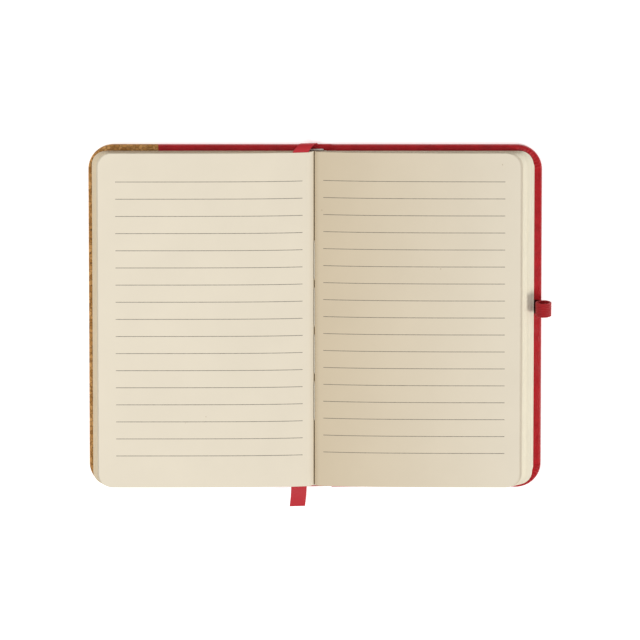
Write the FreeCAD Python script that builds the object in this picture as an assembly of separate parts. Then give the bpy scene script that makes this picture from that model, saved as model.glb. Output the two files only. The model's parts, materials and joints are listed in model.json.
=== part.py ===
"""Casebound pocket notebook, lying open at the middle of its sewn block.

Millimetres. +Y runs along the spine towards the head, +Z points up from the surface that the
notebook lies on, the front cover lies towards -X and the back cover towards +X. The origin is
on that surface, under the middle of the spine.
"""
import FreeCAD, Part
import os

# ---- driving dimensions -----------------------------------------------------------------------
cover_height = 140.0        # head to tail
cover_reach = 89.4          # middle of the spine to a cover's fore edge
cover_corner = 10.0
groove = 1.5                # hinge line to the board's spine edge
covering = 0.5              # thickness of the red covering and of the cork
board = 2.0
turn_in = 0.3               # covering where it is turned over the board's edge
turn_in_width = 12.0
pastedown = 0.2
pastedown_inset = 2.5       # cover's edge to the endpaper's edge
cork_reach = 61.8           # middle of the spine to the cork's straight edge

page_height = 136.5
page_corner = 5.5
leaf = 0.1125               # one sheet of paper with its share of air
leaves_per_section = 16
flyleaf = 0.2
turning_leaf = 0.15         # one sheet, stiff enough to handle as a solid
block_offset = -0.3         # the sewn block sits a little towards the front cover
block_drop = 0.45           # and a little towards the tail
front_reach = 88.0          # middle of the spine to the lowest left leaf's fore edge
front_fan = 2.3             # how much shorter the top left leaf reaches
back_reach = 86.1
back_fan = 5.2

spine_card = 0.8
spine_lining = 0.3
spine_gap = 0.2             # between the spine's strips and the covers' hinge lines
root_gap = 0.08             # between the backs of neighbouring sections
root_drop = 0.15            # a section's back ends this far below its leaves' pivot
root_end_gap = 0.1          # between the lowest leaves and the nearest section back
thread = 0.4
stitch_count = 4
stitch_length = 16.0
stitch_pitch = 19.2
stitch_y = -5.0             # middle of the row of stitches
band_depth = 0.6            # head and tail bands stand out this far
band_height = 1.2

ribbon_width = 6.2
ribbon = 0.2
ribbon_x = -6.6             # middle of the ribbon's run under the leaf
ribbon_head_x = -1.7        # middle of the fold over the spine's head
ribbon_tail_length = 8.5
ribbon_gap = 0.05

loop_width = 5.6            # length of the loop along the cover's edge
loop_outer = 3.2            # radius
loop_wall = 0.75
loop_y = 4.2                # middle of the loop
loop_out = 0.75             # ring's middle beyond the cover's edge
loop_lift = 0.2             # ring's lowest point above the cover's inner face
loop_tail = 0.2
loop_tail_reach = 8.0       # how far the loop's glued end runs in from the edge
loop_neck = 0.85
loop_neck_gap = 0.05

face_gap = 0.03             # paper between bodies that rest on each other

# ---- worked out from them ---------------------------------------------------------------------
cover_top = covering + board + turn_in + pastedown
section = leaf * leaves_per_section
half_block = 2.5 * section + flyleaf
block_top = cover_top + half_block
hinge_reach = half_block + abs(block_offset)    # middle of the spine to a hinge line
spine_top = covering + spine_card + spine_lining
half_page = page_height / 2
half_cover = cover_height / 2


def slab(x0, x1, y0, y1, z0, z1):
    """A plain plate between two corners, given in any order along X."""
    return Part.makeBox(abs(x1 - x0), y1 - y0, z1 - z0, FreeCAD.Vector(min(x0, x1), y0, z0))


def rounded_plate(side, inner, outer, half_height, radius, z0, z1):
    """A plate from the spine towards side (-1 front, +1 back) with two rounded outer corners."""
    plate = slab(side * inner, side * outer, -half_height, half_height, z0, z1)
    corners = []
    for edge in plate.Edges:
        upright = abs(edge.Vertexes[0].Z - edge.Vertexes[-1].Z) > (z1 - z0) / 2
        if upright and abs(edge.Vertexes[0].X - side * outer) < face_gap:
            corners.append(edge)
    return plate.makeFillet(radius, corners)


def cover_shell(side, inner):
    """The covering wrapped round a board: an outer sheet, a wall and a turned-in strip."""
    outer = rounded_plate(side, inner, cover_reach, half_cover, cover_corner,
                          0.0, covering + board + turn_in)
    inside = rounded_plate(side, 0.0, cover_reach - covering, half_cover - covering,
                           cover_corner - covering, covering, covering + board)
    window = rounded_plate(side, 0.0, cover_reach - turn_in_width, half_cover - turn_in_width,
                           face_gap, covering + board - face_gap, cover_top)
    return outer.cut(inside).cut(window)


def split_at_cork(shell, keep_cork):
    """The part of a shell that lies beyond, or within, the cork's straight edge."""
    if keep_cork:
        cutter = slab(-cork_reach, -cover_reach - covering, -half_cover, half_cover, 0.0, cover_top)
    else:
        cutter = slab(-cork_reach, 0.0, -half_cover, half_cover, 0.0, cover_top)
    return shell.common(cutter)


def make_board(side):
    return rounded_plate(side, hinge_reach + groove, cover_reach - covering,
                         half_cover - covering, cover_corner - covering,
                         covering, covering + board)


def make_pastedown(side):
    """Endpaper glued over the board and the turned-in strip."""
    sheet = rounded_plate(side, hinge_reach + groove, cover_reach - pastedown_inset,
                          half_cover - pastedown_inset, page_corner,
                          cover_top - pastedown, cover_top)
    bed = slab(side * (hinge_reach + groove), side * (cover_reach - turn_in_width),
               -half_cover + turn_in_width, half_cover - turn_in_width,
               covering + board, cover_top - pastedown)
    return sheet.fuse(bed).removeSplitter()


# ---- page block -------------------------------------------------------------------------------
def bend_radius(fan, depth):
    """How wide a leaf turns from upright to flat; depth counts from the block's middle."""
    return (half_block - fan / 2) * (1 - depth / half_block)


def pivot(fan, depth):
    """Distance from the block's middle plane, and height, of a stack's folding line."""
    radius = bend_radius(fan, depth)
    return depth + radius, block_top - depth - radius


def reach_at(reach, fan, depth):
    return reach - fan * (1 - depth / half_block)


def leaf_stack(side, reach, fan, near, far, trim=0.0):
    """Leaves from depth near to depth far, lying flat beside the spine."""
    middle = (near + far) / 2
    inner, _ = pivot(fan, middle)
    if far > 2 * section:
        inner = half_block + root_end_gap
    shift = side * block_offset
    return rounded_plate(side, inner + shift, reach_at(reach, fan, middle), half_page, page_corner,
                         block_top - far, block_top - near - trim)


def section_back(index):
    """The folded back of one section, standing on the spine lining."""
    low = (index - 2.5) * section + root_gap
    high = (index - 1.5) * section - root_gap
    steps = abs(index - 2)
    if steps == 0:
        top = min(pivot(front_fan, section / 4)[1], pivot(back_fan, section / 4)[1])
        top -= root_drop + thread
    else:
        top = pivot(front_fan if index < 2 else back_fan, steps * section)[1] - root_drop
    return slab(block_offset + low, block_offset + high, -half_page, half_page, spine_top, top)


def make_thread():
    """Long stitches lying in the fold of the middle section."""
    back = section_back(2)
    z = back.BoundBox.ZMax + thread / 2
    start = stitch_y - (stitch_count - 1) * stitch_pitch / 2 - stitch_length / 2
    stitches = []
    for n in range(stitch_count):
        foot = FreeCAD.Vector(block_offset, start + n * stitch_pitch, z)
        stitches.append(Part.makeCylinder(thread / 2, stitch_length, foot, FreeCAD.Vector(0, 1, 0)))
    return Part.makeCompound(stitches)


def make_band(end):
    """A rolled band of cloth at the block's head or tail, end = +1 or -1."""
    half_width = 2 * section
    y = end * half_page
    band = slab(block_offset - half_width, block_offset + half_width,
                min(y, y + end * band_depth), max(y, y + end * band_depth),
                spine_top, spine_top + band_height)
    ridge = [e for e in band.Edges
             if abs(e.Vertexes[0].X - e.Vertexes[-1].X) > half_width
             and abs(e.Vertexes[0].Y - (y + end * band_depth)) < face_gap]
    return band.makeFillet(band_height / 2 - face_gap, ridge)


# ---- ribbon -----------------------------------------------------------------------------------
ribbon_floor = block_top - face_gap - turning_leaf - ribbon_gap - ribbon


def make_ribbon_strip():
    """The ribbon's run under the top left leaf."""
    return slab(ribbon_x - ribbon_width / 2, ribbon_x + ribbon_width / 2,
                -half_page, half_page, ribbon_floor, ribbon_floor + ribbon)


def make_ribbon_tail():
    return slab(ribbon_x - ribbon_width / 2, ribbon_x + ribbon_width / 2,
                -half_page - ribbon_tail_length, -half_page - ribbon_gap,
                ribbon_floor, ribbon_floor + ribbon)


def make_ribbon_head():
    """The fold where the ribbon comes over the head of the spine."""
    y = half_page + band_depth + ribbon_gap
    return slab(ribbon_head_x - ribbon_width / 2, ribbon_head_x + ribbon_width / 2,
                y, y + ribbon, spine_top, ribbon_floor)


# ---- pen loop ---------------------------------------------------------------------------------
loop_x = cover_reach + loop_out
loop_z = cover_top + loop_lift + loop_outer
tail_floor = covering + board + turn_in - loop_tail
along_edge = FreeCAD.Vector(0, 1, 0)


def make_pen_loop():
    """A ring of elastic and the short neck that joins it to its glued end."""
    foot = FreeCAD.Vector(loop_x, loop_y - loop_width / 2, loop_z)
    ring = Part.makeCylinder(loop_outer, loop_width, foot, along_edge)
    hole = Part.makeCylinder(loop_outer - loop_wall, loop_width, foot, along_edge)
    neck = slab(cover_reach + loop_neck_gap, cover_reach + loop_neck_gap + loop_neck,
                loop_y - loop_width / 2, loop_y + loop_width / 2,
                tail_floor, loop_z - loop_outer + loop_wall)
    return ring.fuse(neck).cut(hole).removeSplitter()


def make_loop_tail():
    """The loop's glued end, let into the turned-in strip under the endpaper."""
    return slab(cover_reach - loop_tail_reach, cover_reach,
                loop_y - loop_width / 2, loop_y + loop_width / 2,
                tail_floor, tail_floor + loop_tail)


def top_leaf(side, reach, fan, floor):
    """A single leaf lying on its stack; it turns about the block's middle line."""
    inner, _ = pivot(fan, 0.0)
    return rounded_plate(side, inner + side * block_offset, reach_at(reach, fan, 0.0),
                         half_page, page_corner, floor, floor + turning_leaf)


block_names = ("section_", "left_", "right_", "front_flyleaf", "back_flyleaf", "headband",
               "tailband", "sewing_", "spine_lining", "ribbon_", "bookmark_")


def build():
    leaf_trim = turning_leaf + 2 * face_gap
    ribbon_trim = turning_leaf + ribbon + 2 * ribbon_gap + face_gap
    front = (-1, front_reach, front_fan)
    back = (1, back_reach, back_fan)
    half = section / 2
    front_shell = cover_shell(-1, hinge_reach)
    spine_half = hinge_reach - spine_gap
    nodes = {
        "spine_skin": slab(-spine_half, spine_half, -half_cover, half_cover, 0.0, covering),
        "spine_card": slab(-spine_half, spine_half, -half_cover + covering, half_cover - covering,
                           covering, covering + spine_card),
        "spine_lining": slab(block_offset - half_block, block_offset + half_block,
                             -half_page, half_page, covering + spine_card, spine_top),
        "headband": make_band(1),
        "tailband": make_band(-1),
        "sewing_thread": make_thread(),
        "ribbon_head": make_ribbon_head(),
        "front_board": make_board(-1),
        "front_skin": split_at_cork(front_shell, False),
        "cork_panel": split_at_cork(front_shell, True),
        "front_pastedown": make_pastedown(-1),
        "back_board": make_board(1),
        "back_skin": cover_shell(1, hinge_reach).cut(make_loop_tail()),
        "back_pastedown": make_pastedown(1),
        "pen_loop": make_pen_loop(),
        "pen_loop_tail": make_loop_tail(),
        "front_flyleaf": leaf_stack(*front, 2.5 * section, half_block - face_gap),
        "back_flyleaf": leaf_stack(*back, 2.5 * section, half_block - face_gap),
        "section_1_leaves": leaf_stack(*front, 1.5 * section, 2.5 * section),
        "section_2_leaves": leaf_stack(*front, half, 1.5 * section, face_gap),
        "section_3_front_leaves": leaf_stack(*front, 0.0, half, ribbon_trim),
        "section_3_back_leaves": leaf_stack(*back, 0.0, half, leaf_trim),
        "section_4_leaves": leaf_stack(*back, half, 1.5 * section, face_gap),
        "section_5_leaves": leaf_stack(*back, 1.5 * section, 2.5 * section),
        "left_page_leaf": top_leaf(-1, front_reach, front_fan, block_top - turning_leaf - face_gap),
        "right_page_leaf": top_leaf(1, back_reach, back_fan, block_top - turning_leaf - face_gap),
        "bookmark_ribbon": make_ribbon_strip(),
        "ribbon_tail": make_ribbon_tail(),
    }
    for index in range(5):
        nodes["section_%d_back" % (index + 1)] = section_back(index)
    for name, shape in nodes.items():
        if name.startswith(block_names):
            shape.translate(FreeCAD.Vector(0, -block_drop, 0))
    return nodes


os.makedirs("parts", exist_ok=True)
for name, shape in build().items():
    shape.exportStep("parts/%s.step" % name)
    box = shape.BoundBox
    print("%-24s %8.1f mm3  x %6.1f %6.1f  y %6.1f %6.1f  z %5.2f %5.2f" % (
        name, shape.Volume, box.XMin, box.XMax, box.YMin, box.YMax, box.ZMin, box.ZMax))
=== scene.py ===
# %% [markdown]
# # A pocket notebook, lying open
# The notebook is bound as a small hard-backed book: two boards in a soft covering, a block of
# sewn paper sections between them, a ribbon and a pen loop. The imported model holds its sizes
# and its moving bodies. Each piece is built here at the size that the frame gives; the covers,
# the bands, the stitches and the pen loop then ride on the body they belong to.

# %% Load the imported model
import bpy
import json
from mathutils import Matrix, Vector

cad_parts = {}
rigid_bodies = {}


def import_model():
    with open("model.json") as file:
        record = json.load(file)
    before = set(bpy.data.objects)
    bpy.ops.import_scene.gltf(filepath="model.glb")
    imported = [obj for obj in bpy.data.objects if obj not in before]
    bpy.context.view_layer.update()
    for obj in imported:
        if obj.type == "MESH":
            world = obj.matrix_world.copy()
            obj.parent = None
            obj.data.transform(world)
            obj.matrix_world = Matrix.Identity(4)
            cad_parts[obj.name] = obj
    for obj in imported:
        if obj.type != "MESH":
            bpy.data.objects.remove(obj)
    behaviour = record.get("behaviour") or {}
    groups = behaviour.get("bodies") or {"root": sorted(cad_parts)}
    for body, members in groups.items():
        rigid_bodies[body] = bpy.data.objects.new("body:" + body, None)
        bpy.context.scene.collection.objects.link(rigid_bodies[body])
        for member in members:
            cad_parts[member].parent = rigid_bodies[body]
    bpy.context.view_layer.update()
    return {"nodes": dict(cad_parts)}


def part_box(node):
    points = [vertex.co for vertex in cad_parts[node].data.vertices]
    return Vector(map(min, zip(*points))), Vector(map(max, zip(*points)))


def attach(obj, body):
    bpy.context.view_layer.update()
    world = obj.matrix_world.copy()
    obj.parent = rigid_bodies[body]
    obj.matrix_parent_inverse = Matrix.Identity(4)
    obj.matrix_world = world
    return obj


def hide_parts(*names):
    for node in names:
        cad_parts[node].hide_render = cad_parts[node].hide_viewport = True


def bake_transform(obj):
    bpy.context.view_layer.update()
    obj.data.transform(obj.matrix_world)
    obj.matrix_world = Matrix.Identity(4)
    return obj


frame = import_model()

# %% Tools and units
import json
import math
import random

import bmesh
import bpy
from mathutils import Vector

MM = 0.001
TINY = 0.01 * MM
HEAD, TAIL = 1, -1          # along Y
FRONT, BACK = -1, 1         # along X

# %% [markdown]
# ## Sizes
# Nothing is measured twice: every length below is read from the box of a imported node, so the
# pieces still fit together if the model changes.

# %% Read the sizes from the frame
cover_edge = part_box("back_skin")[1][0]
cover_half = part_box("back_skin")[1][1]
hinge_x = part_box("back_skin")[0][0]
board_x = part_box("back_board")[0][0]
turned_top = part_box("back_skin")[1][2]
cover_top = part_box("back_pastedown")[1][2]
cork_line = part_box("cork_panel")[1][0]
spine_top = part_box("section_3_back")[0][2]
block_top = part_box("right_page_leaf")[1][2]
block_x = (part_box("section_3_back")[0][0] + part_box("section_3_back")[1][0]) / 2
page_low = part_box("section_1_leaves")[0][1]
page_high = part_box("section_1_leaves")[1][1]
half_block = block_top - cover_top
top_reach = {FRONT: -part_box("left_page_leaf")[0][0], BACK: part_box("right_page_leaf")[1][0]}
low_reach = {FRONT: -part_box("front_flyleaf")[0][0], BACK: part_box("back_flyleaf")[1][0]}
print("covers reach %.1f mm, the block is %.1f mm thick" % (cover_edge / MM, half_block * 2 / MM))


# %% [markdown]
# ## Working by hand, in code
# A modelling operator acts on whatever is selected. These helpers do what a hand does in the
# window: make one object active, go into edit mode, and pick vertices, edges or faces by where
# they are.

# %% Helpers for selecting and shaping
def only(piece):
    bpy.ops.object.select_all(action="DESELECT")
    piece.select_set(True)
    bpy.context.view_layer.objects.active = piece


def edit(piece):
    only(piece)
    bpy.ops.object.mode_set(mode="EDIT")


def leave():
    bpy.ops.object.mode_set(mode="OBJECT")


def middle_of(thing):
    if isinstance(thing, bmesh.types.BMVert):
        return thing.co
    return sum((v.co for v in thing.verts), Vector()) / len(thing.verts)


def pick(piece, kind, test):
    """Select the VERT, EDGE or FACE things of a piece whose middle and self pass a test."""
    bpy.ops.mesh.select_mode(type=kind)
    bpy.ops.mesh.select_all(action="DESELECT")
    shape = bmesh.from_edit_mesh(piece.data)
    shape.normal_update()
    things = {"VERT": shape.verts, "EDGE": shape.edges, "FACE": shape.faces}[kind]
    chosen = [thing for thing in things if test(middle_of(thing), thing)]
    for thing in chosen:
        thing.select_set(True)
    shape.select_flush_mode()
    bmesh.update_edit_mesh(piece.data)
    return len(chosen)


def settle(piece, name):
    """Put a new primitive's place and size into its mesh, and name it."""
    only(piece)
    bpy.ops.object.transform_apply(location=True, rotation=True, scale=True)
    piece.name = name
    piece.data.name = name
    return piece


def block(name, low, high):
    """A box primitive between two corners."""
    low, high = Vector(low), Vector(high)
    bpy.ops.mesh.primitive_cube_add(size=1, location=(low + high) / 2, scale=high - low)
    return settle(bpy.context.active_object, name)


def sheet(name, middle, size, turn=(0, 0, 0)):
    """A flat plane primitive of a given size."""
    bpy.ops.object.select_all(action="DESELECT")
    bpy.ops.mesh.primitive_plane_add(size=1, location=middle, rotation=turn)
    bpy.context.active_object.scale = (*size, 1)
    return settle(bpy.context.active_object, name)


def modify(piece, kind, **settings):
    """Add a modifier and apply it."""
    only(piece)
    step = piece.modifiers.new(kind.title(), kind)
    for key, value in settings.items():
        setattr(step, key, value)
    bpy.ops.object.modifier_apply(modifier=step.name)


def join(pieces, name):
    bpy.ops.object.select_all(action="DESELECT")
    for piece in pieces:
        piece.select_set(True)
    bpy.context.view_layer.objects.active = pieces[0]
    if len(pieces) > 1:
        bpy.ops.object.join()
    pieces[0].name = name
    pieces[0].data.name = name
    return pieces[0]


def smooth(piece, degrees=35):
    only(piece)
    bpy.ops.object.shade_smooth_by_angle(angle=math.radians(degrees))


def is_rim(edge):
    """An edge where a flat cap meets an upright wall."""
    if len(edge.link_faces) != 2:
        return False
    a, b = edge.link_faces
    return abs(abs(a.normal.z) - abs(b.normal.z)) > 0.5


# %% [markdown]
# ## Camera
# The book is seen from above, a little from its head end, through a long lens, so that its
# edges stay parallel. The covers' head edge shows and their tail edge hides under the pages.

# %% Place the camera
look_at = Vector((1.9 * MM, -1.2 * MM, 3 * MM))
camera_distance = 5.0
camera_tilt = math.radians(15)
view_width = 253 * MM
camera = bpy.data.objects.new("camera", bpy.data.cameras.new("camera"))
bpy.context.scene.collection.objects.link(camera)
camera.location = look_at + camera_distance * Vector((0, math.sin(camera_tilt), math.cos(camera_tilt)))
camera.rotation_euler = (-camera_tilt, 0, 0)
camera.data.sensor_width = 36
camera.data.lens = camera.data.sensor_width * camera_distance / view_width
camera.data.clip_end = 20
bpy.context.scene.camera = camera
print("lens %.0f mm" % camera.data.lens)

# %% [markdown]
# ## Floor and light
# A pale sweep of paper, one broad lamp low on the fore-edge side of the tail, and an even
# white surround, as a product table has. The low lamp gives the covering its highlights.

# %% Build the floor and the lamps
bpy.ops.object.select_all(action="DESELECT")
bpy.ops.mesh.primitive_plane_add(size=6, location=(0, 0, -0.05 * MM))
floor = settle(bpy.context.active_object, "floor")
paper_white = bpy.data.materials.new("sweep")
paper_white.use_nodes = True
sweep = paper_white.node_tree.nodes["Principled BSDF"].inputs
sweep["Base Color"].default_value = (0.9, 0.9, 0.9, 1)
sweep["Roughness"].default_value = 1.0
sweep["Emission Color"].default_value = (1, 1, 1, 1)
sweep["Emission Strength"].default_value = 0.50     # lifts the sweep to a clean white
floor.data.materials.append(paper_white)


def lamp(name, place, size, watts, tint=(1, 1, 1)):
    light = bpy.data.lights.new(name, "AREA")
    light.size = size
    light.energy = watts
    light.color = tint
    holder = bpy.data.objects.new(name, light)
    bpy.context.scene.collection.objects.link(holder)
    holder.location = place
    holder.rotation_euler = (look_at - Vector(place)).to_track_quat("-Z", "Y").to_euler()


lamp("key_lamp", (2.1, -1.1, 1.7), 0.8, 46.0, (1.0, 0.985, 0.96))
lamp("fill_lamp", (-0.6, 0.0, 0.75), 0.6, 4.4)
world = bpy.data.worlds.new("studio")
world.use_nodes = True
world.node_tree.nodes["Background"].inputs["Color"].default_value = (1, 1, 1, 1)
world.node_tree.nodes["Background"].inputs["Strength"].default_value = 0.42
bpy.context.scene.world = world
bpy.context.scene.view_settings.view_transform = "Standard"


# %% [markdown]
# ## Finishes
# Each finish is a small graph of nodes. A few helpers add a node, wire it, and mix colours, so
# that each recipe below reads as a list of what the eye sees.

# %% Helpers for finishes
class Finish:
    """A material being put together, node by node."""

    def __init__(self, name, roughness, specular=0.5):
        self.material = bpy.data.materials.new(name)
        self.material["slot"] = name.removesuffix("_left").removesuffix("_right").removesuffix("_edges")
        self.material.use_nodes = True
        self.nodes = self.material.node_tree.nodes
        self.links = self.material.node_tree.links
        self.shader = self.nodes["Principled BSDF"]
        self.shader.inputs["Roughness"].default_value = roughness
        self.shader.inputs["Specular IOR Level"].default_value = specular

    def add(self, kind, **settings):
        node = self.nodes.new("ShaderNode" + kind)
        for key, value in settings.items():
            if hasattr(node, key):
                setattr(node, key, value)
            else:
                node.inputs[key.replace("_", " ")].default_value = value
        return node

    def wire(self, a, b):
        self.links.new(a, b)

    def place(self, stretch=(1, 1, 1)):
        """Object coordinates, stretched."""
        spot = self.add("TexCoord")
        mapping = self.add("Mapping")
        mapping.inputs["Scale"].default_value = stretch
        self.wire(spot.outputs["Object"], mapping.inputs["Vector"])
        return mapping.outputs["Vector"]

    def noise(self, where, scale, detail=2.0, roughness=0.5):
        node = self.add("TexNoise", Scale=scale, Detail=detail, Roughness=roughness)
        self.wire(where, node.inputs["Vector"])
        return node.outputs["Fac"]

    def cells(self, where, scale, feature="F1", randomness=1.0):
        node = self.add("TexVoronoi", feature=feature, Scale=scale, Randomness=randomness)
        self.wire(where, node.inputs["Vector"])
        return node

    def ramp(self, value, *stops):
        """Colours at positions along a value from 0 to 1."""
        node = self.add("ValToRGB")
        band = node.color_ramp.elements
        while len(band) < len(stops):
            band.new(0.5)
        for mark, (position, colour) in zip(band, stops):
            mark.position = position
            mark.color = (*colour, 1)
        self.wire(value, node.inputs["Fac"])
        return node.outputs["Color"]

    def math(self, operation, a, b=0.0, c=None):
        node = self.add("Math", operation=operation)
        for socket, value in zip(node.inputs, (a, b, c)):
            if value is None:
                continue
            if isinstance(value, (int, float)):
                socket.default_value = value
            else:
                self.wire(value, socket)
        return node.outputs[0]

    def mix(self, factor, a, b, blend="MIX"):
        node = self.add("Mix", data_type="RGBA", blend_type=blend)
        for socket, value in ((node.inputs[0], factor), (node.inputs[6], a), (node.inputs[7], b)):
            if isinstance(value, (int, float)):
                socket.default_value = value
            elif isinstance(value, tuple):
                socket.default_value = (*value, 1)
            else:
                self.wire(value, socket)
        return node.outputs[2]

    def bump(self, height, depth, before=None):
        """Relief of a given depth in metres; returns its normal for the next one."""
        node = self.add("Bump", Strength=1.0, Distance=depth)
        self.wire(height, node.inputs["Height"])
        if before is not None:
            self.wire(before, node.inputs["Normal"])
        return node.outputs["Normal"]

    def finish(self, colour, normal=None, roughness=None):
        self.wire(colour, self.shader.inputs["Base Color"])
        if normal is not None:
            self.wire(normal, self.shader.inputs["Normal"])
        if roughness is not None:
            self.wire(roughness, self.shader.inputs["Roughness"])
        return self.material


def dress(piece, material):
    """Give a piece one finish all over."""
    piece.data.materials.clear()
    piece.data.materials.append(material)


def dress_node(node, material):
    """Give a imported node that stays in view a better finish."""
    shown = frame["nodes"][node]
    for spot in shown.material_slots:
        spot.material = material


# %% [markdown]
# ### Red covering
# The covers are wrapped in a soft polyurethane sheet with a fine pressed grain. Small cells
# make the grain, a slower noise keeps it from looking printed, and the colour is darkened in
# the hollows of the grain as painted shade.

# %% Mix the red covering
def make_red_covering():
    look = Finish("red_covering", 0.34, 0.28)
    where = look.place()
    grain = look.cells(where, 2100, "DISTANCE_TO_EDGE").outputs["Distance"]
    pebbles = look.math("MINIMUM", look.math("MULTIPLY", grain, 6.0), 1.0)
    drift = look.noise(where, 240, 3.0)
    colour = look.ramp(drift, (0.3, (0.38, 0.001, 0.005)), (0.7, (0.50, 0.003, 0.010)))
    # painted shade: the grain's hollows are mixed about a third of the way towards near black
    colour = look.mix(pebbles, look.mix(0.35, colour, (0.12, 0.002, 0.004)), colour)
    normal = look.bump(pebbles, 0.035 * MM)
    normal = look.bump(drift, 0.12 * MM, normal)
    shine = look.math("MULTIPLY_ADD", drift, 0.20, 0.22)
    return look.finish(colour, normal, shine)


red_covering = make_red_covering()

# %% [markdown]
# ### Cork
# Cork sheet is pressed from granules a millimetre or two across, each its own brown, with dark
# flecks between them. Two sizes of cells give the granules and the flecks, and the same cells
# raise the surface a little.

# %% Mix the cork
def make_cork():
    look = Finish("cork", 0.8, 0.12)
    where = look.place()
    wobble = look.noise(where, 900, 3.0)
    granules = look.cells(where, 620)
    tone = look.math("MULTIPLY", granules.outputs["Color"], 0.65)
    tone = look.math("ADD", tone, look.math("MULTIPLY", wobble, 0.35))
    colour = look.ramp(tone, (0.10, (0.24, 0.10, 0.025)), (0.35, (0.42, 0.20, 0.055)),
                       (0.62, (0.56, 0.29, 0.095)), (0.95, (0.68, 0.40, 0.16)))
    seams = look.cells(where, 620, "DISTANCE_TO_EDGE").outputs["Distance"]
    joint = look.math("MINIMUM", look.math("MULTIPLY", seams, 9.0), 1.0)
    colour = look.mix(joint, look.mix(0.55, colour, (0.05, 0.022, 0.008)), colour)
    flecks = look.cells(where, 330).outputs["Distance"]
    fleck = look.math("LESS_THAN", look.math("ADD", flecks, look.math("MULTIPLY", wobble, 0.3)), 0.27)
    colour = look.mix(look.math("MULTIPLY", fleck, 0.75), colour, (0.045, 0.02, 0.008))
    normal = look.bump(joint, 0.08 * MM)
    normal = look.bump(wobble, 0.15 * MM, normal)
    return look.finish(colour, normal)


cork = make_cork()

# %% [markdown]
# ### Paper
# Cream writing paper is uncoated: no gloss, a soft mottle, a few darker fibres and specks. The
# ruled lines are printed, so they follow the sheet, not the table. Each leaf therefore carries
# a map of its own, whose U runs in from the fore edge and whose V runs up from the tail, both
# in metres, and the lines are drawn from that map.

# %% Mix the paper, plain and ruled
line_count = 17
line_half = 0.135 * MM          # half the thickness of a printed line
cream = (0.755, 0.685, 0.555)
# painted shade: the right-hand page is coloured darker towards the gutter, where it curves down into the fold
gutter_shade_cream = (0.625, 0.525, 0.375)      # the right-hand page deepens towards the gutter


def mottled(look, where, tint):
    mottle = look.noise(where, 45, 4.0, 0.6)
    fibres = look.noise(where, 1500, 3.0, 0.7)
    colour = look.ramp(mottle, (0.3, tuple(c * 0.965 for c in tint)), (0.7, tint))
    specks = look.cells(where, 85).outputs["Distance"]
    speck = look.math("LESS_THAN", specks, 0.018)
    colour = look.mix(look.math("MULTIPLY", speck, 0.5), colour, (0.32, 0.22, 0.10))
    normal = look.bump(fibres, 0.012 * MM)
    return colour, normal


def make_paper(name, tint):
    look = Finish(name, 0.9, 0.2)
    return look.finish(*mottled(look, look.place(), tint))


def make_cut_paper(name, tint):
    """Paper of leaves that show only their edges, with painted shade on the faces at the head and tail."""
    look = Finish(name, 0.9, 0.2)
    colour, normal = mottled(look, look.place(), tint)
    parts = look.add("SeparateXYZ")
    look.wire(look.add("NewGeometry").outputs["Normal"], parts.inputs[0])
    # painted shade: faces turned to the head or tail are mixed towards a dark brown
    end_face_shade = look.math("ABSOLUTE", parts.outputs["Y"])
    return look.finish(look.mix(end_face_shade, colour, (0.42, 0.33, 0.24)), normal)


def make_ruled_paper(name, outer_margin, line_length, first_line, line_pitch, gutter_shade_tint):
    look = Finish(name, 0.9, 0.2)
    colour, normal = mottled(look, look.place(), (1, 1, 1))
    page = look.add("UVMap")
    page.uv_map = "page"
    parts = look.add("SeparateXYZ")
    look.wire(page.outputs["UV"], parts.inputs[0])
    across, up = parts.outputs["X"], parts.outputs["Y"]
    # the cream turns to the gutter colour towards the fold: painted shade on the right-hand page
    tint = look.mix(look.math("DIVIDE", across, top_reach[BACK]), cream, gutter_shade_tint)
    colour = look.mix(1.0, colour, tint, "MULTIPLY")
    rows = look.math("DIVIDE", look.math("SUBTRACT", up, first_line), line_pitch)
    nearest = look.math("ROUND", rows)
    off = look.math("MULTIPLY", look.math("ABSOLUTE", look.math("SUBTRACT", rows, nearest)), line_pitch)
    on_line = look.math("LESS_THAN", off, line_half)
    for inside in (look.math("GREATER_THAN", nearest, -0.5),
                   look.math("LESS_THAN", nearest, line_count - 0.5),
                   look.math("GREATER_THAN", across, outer_margin),
                   look.math("LESS_THAN", across, outer_margin + line_length)):
        on_line = look.math("MULTIPLY", on_line, inside)
    ink = look.math("MULTIPLY", on_line, look.math("MULTIPLY_ADD", look.noise(page.outputs["UV"], 900), 0.5, 0.55))
    return look.finish(look.mix(ink, colour, (0.13, 0.115, 0.10)), normal)


# outer margin, length of a line, height of the lowest line above the tail, pitch, and the colour at the gutter,
# painted there as shade on the right-hand page
ruled = {FRONT: make_ruled_paper("ruled_paper_left", 6.9 * MM, 73.8 * MM, 13.0 * MM, 7.0 * MM, cream),
         BACK: make_ruled_paper("ruled_paper_right", 6.0 * MM, 71.7 * MM, 14.0 * MM, 6.94 * MM,
                                gutter_shade_cream)}
endpaper = make_paper("endpaper", (0.87, 0.80, 0.65))
# lit and shaded copies of one paper: the right-hand edges are painted light, much paler than the pages' cream, and
# the left-hand edges darker and warmer, as painted shade
cut_paper = {FRONT: make_cut_paper("ruled_paper_edges_left", (0.78, 0.68, 0.51)),
             BACK: make_cut_paper("ruled_paper_edges_right", (0.93, 0.875, 0.73))}

# %% [markdown]
# ### Threads and weaves
# Bands, thread, ribbon and elastic are all textiles. Wave patterns of the right pitch give
# their ribs and twists, and a light sheen shows the nap.

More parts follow.
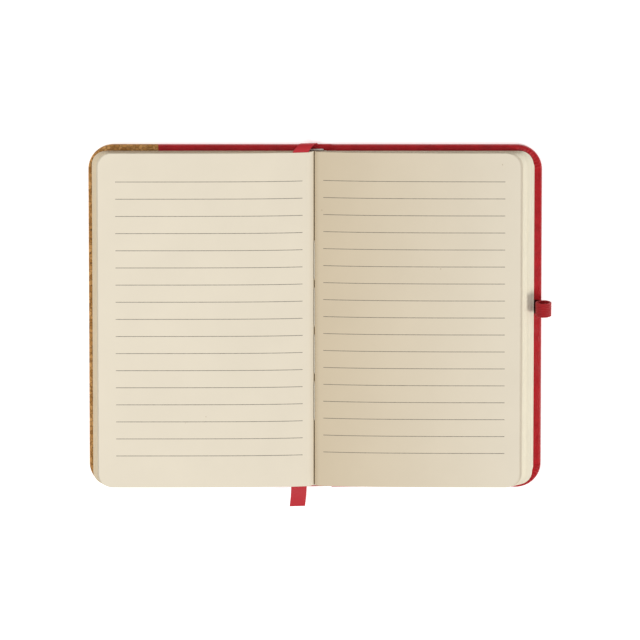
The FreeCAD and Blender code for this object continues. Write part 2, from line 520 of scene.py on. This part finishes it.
# %% Mix the textiles and the hidden stiff layers
def make_weave(name, light, dark, pitch, stretch, roughness, depth, sheen=0.3):
    """A textile with ribs at one pitch; the stretch says which way they run."""
    look = Finish(name, roughness, 0.35)
    where = look.place(stretch)
    waves = look.add("TexWave", wave_type="BANDS", bands_direction="X", Scale=1 / pitch / 3.18)
    waves.inputs["Distortion"].default_value = 0.6
    waves.inputs["Detail"].default_value = 1.0
    look.wire(where, waves.inputs["Vector"])
    fuzz = look.noise(look.place(), 3000, 2.0)
    colour = look.ramp(waves.outputs["Fac"], (0.15, dark), (0.75, light))
    colour = look.mix(look.math("MULTIPLY", fuzz, 0.35), colour, dark)
    normal = look.bump(waves.outputs["Fac"], depth)
    normal = look.bump(fuzz, depth / 2, normal)
    look.shader.inputs["Sheen Weight"].default_value = sheen
    look.shader.inputs["Sheen Roughness"].default_value = 0.4
    return look.finish(colour, normal)


band_cloth = make_weave("band", (0.82, 0.80, 0.75), (0.45, 0.43, 0.38), 0.5 * MM, (1, 0.2, 0.2), 0.8, 0.05 * MM)
thread_wax = make_weave("thread", (0.80, 0.76, 0.66), (0.40, 0.35, 0.26), 0.4 * MM, (0.7, 0.7, 0.7), 0.6, 0.03 * MM)
satin = make_weave("ribbon", (0.60, 0.020, 0.034), (0.36, 0.006, 0.012), 0.28 * MM, (1, 0.08, 0.08), 0.38, 0.02 * MM, 0.3)
elastic = make_weave("elastic", (0.56, 0.008, 0.014), (0.25, 0.002, 0.005), 0.45 * MM, (1, 0.15, 1), 0.6, 0.04 * MM, 0.15)
gauze = make_weave("lining", (0.78, 0.76, 0.70), (0.42, 0.40, 0.36), 0.7 * MM, (1, 1, 1), 0.9, 0.05 * MM)
grey_board = make_paper("board", (0.40, 0.36, 0.30))

for node in ("front_board", "back_board", "spine_card"):
    dress_node(node, grey_board)
dress_node("spine_lining", gauze)
dress_node("pen_loop_tail", elastic)

# %% [markdown]
# ## Covers
# A cover is a board with a sheet wrapped round it. The sheet is one skin: flat outside, rolled
# over the rim, and turned in over the edge of the board. It starts as a box. The fore-edge
# corners and the rims are bevelled round, the spine side is opened, the inner face is inset
# to leave the turned-in strip, and the skin is then given its thickness inwards.

# %% Wrap a sheet round a board
cover_corner = 10 * MM
rim_radius = 0.95 * MM
skin = 0.35 * MM
turn_in = 7.5 * MM
corner_steps = 40
pleat_depth = 0.2 * MM          # the board lies just below


def pleat(piece, side):
    """Gather the turned-in strip into small pleats round the two fore-edge corners."""
    centre = Vector((side * (cover_edge - cover_corner), cover_half - cover_corner))

    def on_pleat(middle, _):
        arm = Vector((abs(middle.x), abs(middle.y))) - Vector((abs(centre.x), centre.y))
        if min(arm) < TINY or middle.z < turned_top - 0.1 * MM:
            return False
        return round(math.atan2(arm.y, arm.x) / (math.pi / 2) * corner_steps) % 4 in (1, 2)

    edit(piece)
    count = pick(piece, "VERT", on_pleat)
    bpy.ops.transform.translate(value=(0, 0, -pleat_depth))
    leave()
    return count


def wrap_cover(name, side):
    x0, x1 = side * board_x, side * cover_edge
    cover = block(name, (min(x0, x1), -cover_half, 0), (max(x0, x1), cover_half, turned_top))
    edit(cover)
    pick(cover, "EDGE", lambda m, e: abs(m.x - x1) < TINY and abs(abs(m.y) - cover_half) < TINY
         and abs(m.z - turned_top / 2) < TINY)
    bpy.ops.mesh.bevel(offset=cover_corner, segments=corner_steps, affect="EDGES")
    pick(cover, "EDGE", lambda m, e: is_rim(e) and abs(m.x - x0) > TINY)
    bpy.ops.mesh.bevel(offset=rim_radius, segments=5, affect="EDGES")
    pick(cover, "FACE", lambda m, f: abs(m.x - x0) < TINY)
    bpy.ops.mesh.delete(type="FACE")
    pick(cover, "FACE", lambda m, f: f.normal.z > 0.99 and abs(m.z - turned_top) < TINY)
    bpy.ops.mesh.inset(thickness=turn_in, use_boundary=False)
    bpy.ops.mesh.delete(type="FACE")
    leave()
    pleats = pleat(cover, side)
    modify(cover, "SOLIDIFY", thickness=skin, offset=-1)
    print(name, "has", pleats // 2, "pleat points,", len(cover.data.polygons), "faces")
    return cover


back_cover = wrap_cover("back_covering", BACK)
smooth(back_cover)
dress(back_cover, red_covering)
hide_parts("back_skin")
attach(back_cover, "back_cover")

# %% [markdown]
# The front cover wears two sheets: cork along its fore edge and the red covering beside it,
# butted together on a straight line. The wrapped sheet is cut along that line, so both keep
# the same rolled rim.

# %% Cut the front covering into cork and red
def part_of(cover, name, keep_outer):
    piece = cover.copy()
    piece.data = cover.data.copy()
    bpy.context.scene.collection.objects.link(piece)
    piece.name = name
    edit(piece)
    bpy.ops.mesh.select_all(action="SELECT")
    bpy.ops.mesh.bisect(plane_co=(cork_line, 0, 0), plane_no=(1, 0, 0), use_fill=True,
                        clear_outer=keep_outer, clear_inner=not keep_outer)
    leave()
    smooth(piece)
    return piece


whole_front = wrap_cover("front_covering", FRONT)
cork_panel = part_of(whole_front, "cork_wrap", True)
front_cover = part_of(whole_front, "front_red_covering", False)
bpy.data.objects.remove(whole_front)
dress(cork_panel, cork)
dress(front_cover, red_covering)
for piece, node in ((cork_panel, "cork_panel"), (front_cover, "front_skin")):
    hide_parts(node)
    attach(piece, "front_cover")

# %% [markdown]
# ## Spine and hinges
# Between the boards the covering runs on alone across two pressed grooves and the spine. Each
# half is a shallow trough, cut into narrow strips so that it can bend, with its groove pressed
# in by lifting one line of points.

# %% Make the two halves of the spine covering
spine_wall = spine_top + 0.1 * MM
lip = 2.4 * MM
groove_lift = 0.35 * MM
groove_middle = (hinge_x + board_x) / 2


def hinge_strip(name, side):
    x1 = side * board_x
    strip = block(name, (min(0, x1), -cover_half, 0), (max(0, x1), cover_half, spine_wall))
    edit(strip)
    for n in range(1, 14):
        bpy.ops.mesh.select_all(action="SELECT")
        bpy.ops.mesh.bisect(plane_co=(x1 * n / 14, 0, 0), plane_no=(1, 0, 0))
    pick(strip, "EDGE", lambda m, e: abs(abs(m.y) - cover_half) < TINY and (abs(m.z) < TINY
         or abs(m.z - spine_wall) < TINY) and abs(e.verts[0].co.x - e.verts[1].co.x) > TINY)
    bpy.ops.mesh.bevel(offset=0.6 * MM, segments=4, affect="EDGES")
    pick(strip, "FACE", lambda m, f: abs(f.normal.x) > 0.99)
    bpy.ops.mesh.delete(type="FACE")
    pick(strip, "FACE", lambda m, f: f.normal.z > 0.99)
    bpy.ops.mesh.inset(thickness=lip, use_boundary=False)
    bpy.ops.mesh.delete(type="FACE")
    pick(strip, "VERT", lambda m, v: abs(abs(m.x) - groove_middle) < 0.5 * MM and m.z < TINY)
    bpy.ops.transform.translate(value=(0, 0, groove_lift))
    leave()
    modify(strip, "SOLIDIFY", thickness=skin, offset=-1)
    smooth(strip, 50)
    dress(strip, red_covering)
    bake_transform(strip)
    print(name, len(strip.data.polygons), "faces")
    return strip


front_hinge = hinge_strip("front_hinge_covering", FRONT)
back_hinge = hinge_strip("back_hinge_covering", BACK)
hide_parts("spine_skin")

# %% [markdown]
# ## Endpapers
# The pasted-down endpaper hides the turned-in strip and the board, and runs on over the groove
# to the block. It is one sheet, rounded at the fore edge, with a few extra cuts beside the
# spine where it has to bend with the cover.

# %% Paste down the endpapers
pastedown_inset = {FRONT: 2.2 * MM, BACK: 3.0 * MM}
pastedown_corner = 5.5 * MM
page_corner = 5.5 * MM
paper_lift = 0.02 * MM


def paste_down(name, side, node):
    x0, x1 = side * (hinge_x - 0.2 * MM), side * (cover_edge - pastedown_inset[side])
    half = cover_half - pastedown_inset[BACK]
    paper = block(name, (min(x0, x1), -half, turned_top - paper_lift), (max(x0, x1), half, cover_top))
    edit(paper)
    pick(paper, "EDGE", lambda m, e: abs(m.x - x1) < TINY
         and abs(e.verts[0].co.z - e.verts[1].co.z) > paper_lift)
    bpy.ops.mesh.bevel(offset=pastedown_corner, segments=3, affect="EDGES")
    for n in range(6):
        bpy.ops.mesh.select_all(action="SELECT")
        bpy.ops.mesh.bisect(plane_co=(x0 + side * (0.3 + 0.3 * n) * MM, 0, 0), plane_no=(1, 0, 0))
    pick(paper, "EDGE", lambda m, e: is_rim(e) and m.z > cover_top - TINY and abs(m.x - x0) > TINY)
    bpy.ops.mesh.bevel(offset=0.05 * MM, segments=2, affect="EDGES")
    leave()
    smooth(paper)
    dress(paper, endpaper)
    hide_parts(node)
    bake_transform(paper)
    print(name, len(paper.data.polygons), "faces")


paste_down("front_endpaper", FRONT, "front_pastedown")
paste_down("back_endpaper", BACK, "back_pastedown")

# %% [markdown]
# ## Leaves
# Every leaf starts at the spine. It stands upright there, turns over towards its cover, and
# runs out to the fore edge. Leaves near the middle of the block turn widely and fall a little
# into the gutter; the outermost ones are almost folded. So a leaf is modelled in that order: an
# upright strip, a spin for the turn, extrusions for the flat run, and a bevel for its two
# rounded corners. Eighty leaves are made by the same few steps at their own depth.

# %% How a leaf runs
gutter_sink = {FRONT: 2.0 * MM, BACK: 2.7 * MM}     # how far the top leaf falls to the gutter
fall_length = {FRONT: 14 * MM, BACK: 20 * MM}       # how soon it recovers
least_turn = 0.16 * MM
gutter_gap = 0.08 * MM          # half the width of the open fold
flat_steps = (2.5, 5.5, 10, 16, 26, 48)     # millimetres out from the turn


def leaf_path(side, depth):
    """The turn's radius, angle and centre, its end, and the height of the flat run."""
    share = 1 - depth / half_block
    fan = low_reach[side] - top_reach[side]
    radius = max((half_block - fan / 2) * share, least_turn)
    sink = gutter_sink[side] * share
    angle = math.pi / 2 - math.atan(sink / fall_length[side])
    root_x = block_x + side * max(depth, gutter_gap)
    level = block_top - depth
    centre = Vector((root_x + side * radius, 0, level - sink - radius * math.sin(angle)))
    end_x = centre.x - side * radius * math.cos(angle)
    return radius, angle, centre, end_x, sink, level


def height_at(side, depth, x):
    _, _, _, end_x, sink, level = leaf_path(side, depth)
    return level - sink * math.exp(-abs(x - end_x) / fall_length[side])


def reach_at(side, depth):
    share = 1 - depth / half_block
    return low_reach[side] - (low_reach[side] - top_reach[side]) * share


print("the top leaf turns on a radius of %.1f mm" % (leaf_path(BACK, 0)[0] / MM))


# %% [markdown]
# A leaf can be whole, from its fold to the fore edge, or a stub that stops where the turn ends,
# or a free leaf that starts there. Stub and free leaf meet edge to edge and make the top leaf,
# a piece of its own.

# %% Model one leaf
def run_out(side, depth, reach, steps):
    """Extrude the selected edge out to the fore edge, following the leaf's height."""
    end_x = leaf_path(side, depth)[3]
    stops = [end_x + side * step * MM for step in steps] + [side * reach]
    before = end_x
    for x in stops:
        rise = height_at(side, depth, x) - height_at(side, depth, before)
        bpy.ops.mesh.extrude_region_move(TRANSFORM_OT_translate={"value": (x - before, 0, rise)})
        before = x


def round_corners(leaf, reach):
    pick(leaf, "VERT", lambda m, v: abs(abs(m.x) - reach) < TINY)
    bpy.ops.mesh.bevel(offset=page_corner, segments=7, affect="VERTICES")


def map_page(leaf, side, reach):
    """The page's own map: U in from the fore edge and V up from the tail, in metres."""
    layer = leaf.data.uv_layers.get("page") or leaf.data.uv_layers.new(name="page")
    for corner in leaf.data.loops:
        place = leaf.data.vertices[corner.vertex_index].co
        layer.data[corner.index].uv = (reach - side * place.x, place.y - page_low)
    for extra in [u for u in leaf.data.uv_layers if u.name != "page"]:
        leaf.data.uv_layers.remove(extra)


def model_leaf(name, side, depth, lift=0.0, whole=True, wander=(0.0, 0.0)):
    radius, angle, centre, end_x, sink, level = leaf_path(side, depth)
    reach = reach_at(side, depth) + wander[0]
    foot = spine_top + lift
    middle_y = (page_low + page_high) / 2 + wander[1]
    leaf = sheet(name, (centre.x - side * radius, middle_y, (foot + centre.z) / 2),
                 (centre.z - foot, page_high - page_low), (0, math.pi / 2, 0))
    edit(leaf)
    pick(leaf, "VERT", lambda m, v: m.z > centre.z - TINY)
    steps = 5 if whole else 10
    bpy.ops.mesh.spin(steps=steps, angle=-side * angle, center=centre, axis=(0, 1, 0))  # left-handed
    if whole:
        run_out(side, depth, reach, flat_steps)
        round_corners(leaf, reach)
    leave()
    map_page(leaf, side, reach)
    return leaf


def free_leaf(name, side, steps):
    """The top leaf from the end of its turn outwards."""
    end_x = leaf_path(side, 0)[3]
    reach = reach_at(side, 0)
    height = height_at(side, 0, end_x)
    first = steps[0] * MM
    rise = height_at(side, 0, end_x + side * first) - height
    leaf = sheet(name, (end_x + side * first / 2, (page_low + page_high) / 2, height),
                 (first, page_high - page_low))
    edit(leaf)
    pick(leaf, "VERT", lambda m, v: abs(m.x - end_x) > first / 2)
    bpy.ops.transform.translate(value=(0, 0, rise))
    before = end_x + side * first
    for x in [end_x + side * step * MM for step in steps[1:]] + [side * reach]:
        rise = height_at(side, 0, x) - height_at(side, 0, before)
        bpy.ops.mesh.extrude_region_move(TRANSFORM_OT_translate={"value": (x - before, 0, rise)})
        before = x
    round_corners(leaf, reach)
    leave()
    map_page(leaf, side, reach)
    return leaf


# %% [markdown]
# ## Ribbon
# The marker is a satin ribbon 6 mm wide. It is glued to the back of the sections, rises over
# their head in a small hump, lies in the fold under the top left leaf, and its cut end hangs out
# at the tail. Its two routes are given point by point and read back from a smooth curve, and a
# narrow strip is extruded along each. The strip leans as the leaves do where they fall to the gutter.

# %% Lay the ribbon under the leaf
ribbon_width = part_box("ribbon_tail")[1][0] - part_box("ribbon_tail")[0][0]
ribbon_room = 0.45 * MM         # between the top leaf and the next


def under_leaf(x, y):
    """A point of the route, x and y in millimetres, in the room under the top left leaf."""
    x, y = x * MM, y * MM
    return (x, y, (height_at(FRONT, 0, x) + height_at(FRONT, ribbon_room, x)) / 2)


def read_route(name, points):
    curve = bpy.data.curves.new(name, "CURVE")
    curve.dimensions = "3D"
    curve.resolution_u = 8
    spline = curve.splines.new("NURBS")
    spline.points.add(len(points) - 1)
    for spot, point in zip(spline.points, points):
        spot.co = (*point, 1)
    spline.order_u = 3
    spline.use_endpoint_u = True
    holder = bpy.data.objects.new(name, curve)
    route = bpy.data.meshes.new_from_object(holder)
    places = [Vector(v.co) for v in route.vertices]
    for spare, home in ((holder, bpy.data.objects), (curve, bpy.data.curves), (route, bpy.data.meshes)):
        home.remove(spare)
    return places


def lay_strip(name, places, width, lean):
    """Extrude a strip of a given width along a route."""
    first = places[1] - places[0]
    bpy.ops.object.select_all(action="DESELECT")
    bpy.ops.mesh.primitive_grid_add(x_subdivisions=6, y_subdivisions=1, size=1)
    strip = bpy.context.active_object
    strip.scale = (width, 1 * MM, 1)
    settle(strip, name)
    edit(strip)
    bpy.ops.mesh.select_all(action="SELECT")
    bpy.ops.transform.rotate(value=-lean, orient_axis="Y", center_override=(0, 0, 0))
    pick(strip, "VERT", lambda m, v: m.y < 0)
    bpy.ops.transform.translate(value=places[0] + Vector((0, 0.5 * MM, 0)))
    pick(strip, "VERT", lambda m, v: abs(m.x) <= width / 2 + TINY and abs(m.y - 0.5 * MM) < TINY)
    bpy.ops.transform.translate(value=places[1] - Vector((0, 0.5 * MM, 0)))
    for before, after in zip(places[1:], places[2:]):
        bpy.ops.mesh.extrude_region_move(TRANSFORM_OT_translate={"value": after - before})
    leave()
    modify(strip, "SOLIDIFY", thickness=0.16 * MM, offset=0)
    smooth(strip, 50)
    dress(strip, satin)
    return strip


recovery = fall_length[FRONT]
lean = math.atan(gutter_sink[FRONT] / recovery * math.exp(-3 * MM / recovery))
head_point = under_leaf(-6.5, 63)
page_edge = page_low / MM
route = read_route("ribbon_route", [
    head_point, under_leaf(-6.6, 48), under_leaf(-6.8, 24), under_leaf(-6.9, -2),
    under_leaf(-6.8, -28), under_leaf(-6.6, -50), under_leaf(-6.5, -64),
    under_leaf(-6.4, page_edge + 0.4), (-6.6 * MM, -72.8 * MM, 5.8 * MM), (-7.1 * MM, -77.1 * MM, 5.0 * MM)])
ribbon = lay_strip("ribbon", route, ribbon_width, lean)
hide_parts("bookmark_ribbon")
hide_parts("ribbon_tail")
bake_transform(ribbon)

fold_route = read_route("ribbon_fold_route", [
    (-1.7 * MM, 68.7 * MM, spine_top + 0.1 * MM), (-1.9 * MM, 70.2 * MM, 2.2 * MM),
    (-2.4 * MM, 71.1 * MM, 3.4 * MM), (-3.3 * MM, 70.9 * MM, 4.8 * MM),
    (-4.7 * MM, 69.5 * MM, 5.6 * MM), under_leaf(-6.3, 67.3), head_point])
fold = lay_strip("ribbon_fold", fold_route, ribbon_width, lean)
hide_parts("ribbon_head")
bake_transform(fold)

# %% [markdown]
# The leaves of one section bend together, so each section is joined into one piece. Small
# seeded differences in reach and height keep the fore edge from looking machined.

# %% Make the sections
dice = random.Random(14)
section = 1.8 * MM
sheets = 16


def gather(name, side, depths, nodes, paper, thick, stub=False):
    leaves = []
    for n, depth in enumerate(depths):
        nest = 0.05 * MM * (len(depths) / 2 - abs(n + 0.5 - len(depths) / 2))
        wander = (dice.uniform(-0.16, 0.16) * MM, dice.uniform(-0.07, 0.07) * MM)
        leaves.append(model_leaf("%s_%d" % (name, n), side, depth, nest, True, wander))
    if stub:
        leaves.append(model_leaf(name + "_stub", side, 0.0, 0.4 * MM, False))
    stack = join(leaves, name)
    modify(stack, "SOLIDIFY", thickness=thick, offset=0)
    smooth(stack, 30)
    dress(stack, paper)
    for node in nodes:
        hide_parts(node)
    radius, _, centre, _, _, _ = leaf_path(side, depths[0])
    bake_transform(stack)
    print(name, len(depths), "leaves,", len(stack.data.polygons), "faces")
    return stack


def depths_between(near, far, count):
    pitch = (far - near) / count
    return [near + (n + 0.5) * pitch for n in range(count)]


half_section = section / 2
gather("section_1", FRONT, depths_between(half_section + section, half_section + 2 * section, sheets),
       ("section_1_leaves", "section_1_back"), cut_paper[FRONT], 0.095 * MM)
gather("section_2", FRONT, depths_between(half_section, half_section + section, sheets),
       ("section_2_leaves", "section_2_back"), cut_paper[FRONT], 0.095 * MM)
gather("section_3_front", FRONT, depths_between(ribbon_room, half_section, sheets // 2 - 1),
       ("section_3_front_leaves", "section_3_back"), ruled[FRONT], 0.045 * MM, True)
gather("section_3_back_part", BACK, depths_between(gutter_gap, half_section, sheets // 2 - 1),
       ("section_3_back_leaves",), ruled[BACK], 0.06 * MM, True)
gather("section_4", BACK, depths_between(half_section, half_section + section, sheets),
       ("section_4_leaves", "section_4_back"), cut_paper[BACK], 0.095 * MM)
gather("section_5", BACK, depths_between(half_section + section, half_section + 2 * section, sheets),
       ("section_5_leaves", "section_5_back"), cut_paper[BACK], 0.07 * MM)
fly_depth = half_block - 0.1 * MM
gather("front_fly", FRONT, [fly_depth], ("front_flyleaf",), endpaper, 0.10 * MM)
gather("back_fly", BACK, [fly_depth], ("back_flyleaf",), endpaper, 0.10 * MM)

# %% [markdown]
# The two top leaves are the pages that show. Each is free of its stack from the turn outwards,
# with close cuts beside the gutter so that it rolls over smoothly when it is turned.

# %% Make the two top leaves
close_steps = (0.4, 0.8, 1.2, 1.6, 2.0, 2.5, 3.1, 4.0, 5.5, 8, 12, 18, 28, 48)


def top_leaf(name, side, node):
    leaf = free_leaf(name, side, close_steps)
    modify(leaf, "SOLIDIFY", thickness=0.07 * MM, offset=0)
    smooth(leaf, 30)
    dress(leaf, ruled[side])
    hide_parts(node)
    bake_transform(leaf)
    print(name, len(leaf.data.polygons), "faces")


top_leaf("left_page", FRONT, "left_page_leaf")
top_leaf("right_page", BACK, "right_page_leaf")

# %% [markdown]
# ## Bands and sewing
# A band is a narrow striped cloth rolled over a cord and glued across the ends of the sections,
# to hide the glue at the head and tail. The sewing thread shows only as a few long stitches in
# the middle fold. Both start as round rods, cut to fill the box of the node they stand for.

# %% Roll the bands and lay the stitches
def rod(name, low, high, along, sides=20):
    """A round rod that fills the box between two corners, lying along X or Y."""
    low, high = Vector(low), Vector(high)
    turn = (0, math.pi / 2, 0) if along == "X" else (math.pi / 2, 0, 0)
    bpy.ops.mesh.primitive_cylinder_add(vertices=sides, radius=0.5, depth=1, rotation=turn)
    bpy.ops.object.transform_apply(location=False, rotation=True, scale=False)
    bpy.context.active_object.scale = high - low
    bpy.context.active_object.location = (low + high) / 2
    return settle(bpy.context.active_object, name)


def roll_band(name):
    low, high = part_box(name)
    band = rod(name + "_roll", low, high, "X", 28)
    edit(band)
    pick(band, "EDGE", lambda m, e: len(e.link_faces) == 2
         and max(len(f.verts) for f in e.link_faces) > 4)
    bpy.ops.mesh.bevel(offset=0.15 * MM, segments=3, affect="EDGES")
    leave()
    smooth(band, 50)
    dress(band, band_cloth)
    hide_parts(name)
    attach(band, "spine")


roll_band("headband")
roll_band("tailband")

stitches = 4
stitch_length = 16 * MM
thread_low, thread_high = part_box("sewing_thread")
stitch_pitch = (thread_high[1] - thread_low[1] - stitch_length) / (stitches - 1)
laid = []
for n in range(stitches):
    start = thread_low[1] + n * stitch_pitch
    stitch = rod("stitch_%d" % n, (thread_low[0], start, thread_low[2]),
                 (thread_high[0], start + stitch_length, thread_high[2]), "Y", 12)
    edit(stitch)
    bpy.ops.mesh.select_all(action="SELECT")
    bpy.ops.mesh.bisect(plane_co=(0, start + 1.2 * MM, 0), plane_no=(0, 1, 0))
    bpy.ops.mesh.select_all(action="SELECT")
    bpy.ops.mesh.bisect(plane_co=(0, start + stitch_length - 1.2 * MM, 0), plane_no=(0, 1, 0))
    pick(stitch, "VERT", lambda m, v: abs(m.y - start) < TINY or abs(m.y - start - stitch_length) < TINY)
    bpy.ops.transform.translate(value=(0, 0, -0.35 * MM))       # it dips into its hole
    leave()
    laid.append(stitch)
sewing = join(laid, "stitches")
smooth(sewing, 60)
dress(sewing, thread_wax)
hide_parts("sewing_thread")
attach(sewing, "spine")
print("two bands and", stitches, "stitches")

# %% [markdown]
# ## Pen loop
# The loop is ribbed elastic, glued under the endpaper and standing out past the edge. Its ribs
# are rubber threads that run round the loop, side by side. Each rib is a thin torus, and a plain
# inner tube closes the gaps between them.

# %% Wind the pen loop
loop_low, loop_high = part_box("pen_loop")
loop_radius = (loop_high[0] - loop_low[0]) / 2
loop_centre = Vector((loop_high[0] - loop_radius, 0, loop_high[2] - loop_radius))
rib_count = 8
rib_pitch = (loop_high[1] - loop_low[1]) / rib_count
rib = rib_pitch * 0.56
parts = []
for n in range(rib_count):
    bpy.ops.mesh.primitive_torus_add(
        location=loop_centre + Vector((0, loop_low[1] + (n + 0.5) * rib_pitch, 0)),
        rotation=(math.pi / 2, 0, 0), major_radius=loop_radius - rib, minor_radius=rib,
        major_segments=44, minor_segments=10)
    parts.append(settle(bpy.context.active_object, "rib_%d" % n))
bpy.ops.mesh.primitive_cylinder_add(
    vertices=44, radius=loop_radius - rib, depth=loop_high[1] - loop_low[1] - rib,
    end_fill_type="NOTHING", rotation=(math.pi / 2, 0, 0),
    location=loop_centre + Vector((0, (loop_high[1] + loop_low[1]) / 2, 0)))
tube = settle(bpy.context.active_object, "inner_tube")
modify(tube, "SOLIDIFY", thickness=0.45 * MM, offset=-1)
parts.append(tube)
neck = block("neck", (cover_edge + 0.05 * MM, loop_low[1] + 0.2 * MM, loop_low[2]),
             (cover_edge + 0.9 * MM, loop_high[1] - 0.2 * MM, loop_centre.z - loop_radius + 0.7 * MM))
modify(neck, "BEVEL", width=0.15 * MM, segments=2)
parts.append(neck)
pen_loop = join(parts, "elastic_loop")
smooth(pen_loop, 50)
dress(pen_loop, elastic)
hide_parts("pen_loop")
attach(pen_loop, "loop")
print("loop of", rib_count, "ribs")
